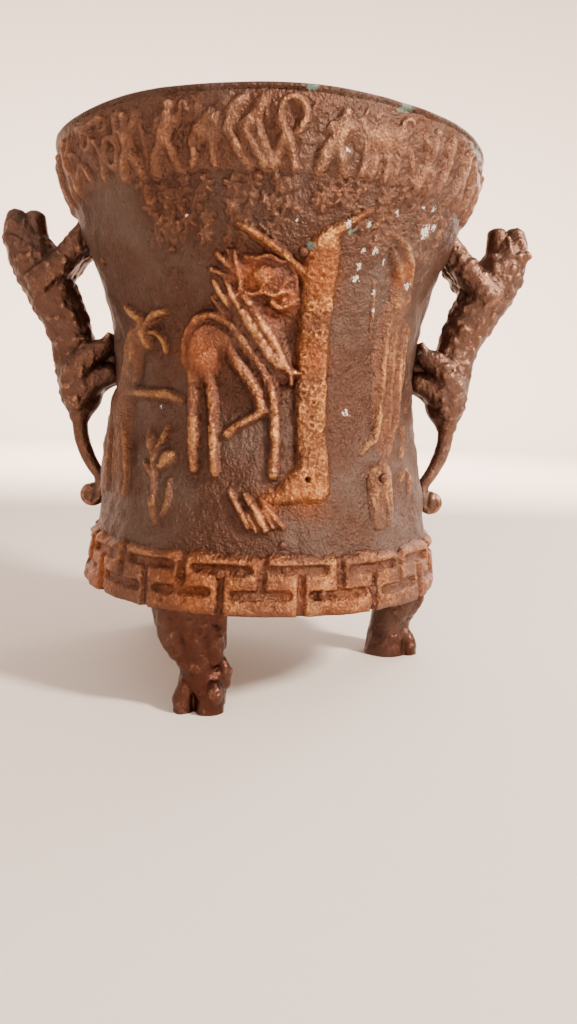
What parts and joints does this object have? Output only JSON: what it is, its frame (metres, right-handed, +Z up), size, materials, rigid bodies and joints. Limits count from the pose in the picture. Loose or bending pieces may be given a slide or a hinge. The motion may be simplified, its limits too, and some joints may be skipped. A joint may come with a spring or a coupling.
{
  "type": "planter pot",
  "caption": "Waisted cast brass planter pot on clawed legs, with a key band, a frieze of small figures, applied animals and trees, and climbing leopard handles.",
  "frame": {"origin": "on the floor, under the centre of the pot", "axes": "+Z up; +X through the right leopard handle; -Y to the front scene, between the handles"},
  "size_m": [0.2544, 0.2, 0.2435],
  "materials": {
    "patinated_wall": "cast, brown patina with grey bloom, pitted",
    "dark_inside": "cast, dark unpolished inside",
    "rubbed_band": "cast, rubbed bright on the high places, dark in the grooves",
    "leopard_bronze": "cast, stippled hide, brown patina with green in the hollows",
    "dark_leg": "cast, brown patina, rubbed edges",
    "rubbed_relief": "cast, rubbed to a copper shine on the high places",
    "bark_relief": "cast, stamped bark, brown patina"
  },
  "bodies": {
    "root": {"vessel_wall": "patinated_wall", "floor_plate": "dark_inside", "key_band": "rubbed_band", "frieze_band": "patinated_wall", "frieze_procession": "rubbed_band", "leopard_right": "leopard_bronze", "leopard_left": "leopard_bronze", "leg_front": "dark_leg", "leg_right": "dark_leg", "leg_rear": "dark_leg", "giraffe_adult_front": "rubbed_relief", "giraffe_calf_front": "rubbed_relief", "tree_centre_front": "bark_relief", "tree_side_front": "bark_relief", "grass_front": "rubbed_relief", "leaf_plant_front": "rubbed_relief", "leaf_sprays_front": "rubbed_relief", "giraffe_adult_rear": "rubbed_relief", "giraffe_calf_rear": "rubbed_relief", "tree_centre_rear": "bark_relief", "tree_side_rear": "bark_relief", "grass_rear": "rubbed_relief", "leaf_plant_rear": "rubbed_relief", "leaf_sprays_rear": "rubbed_relief", "core_pins": "rubbed_band"}
  },
  "joints": []
}
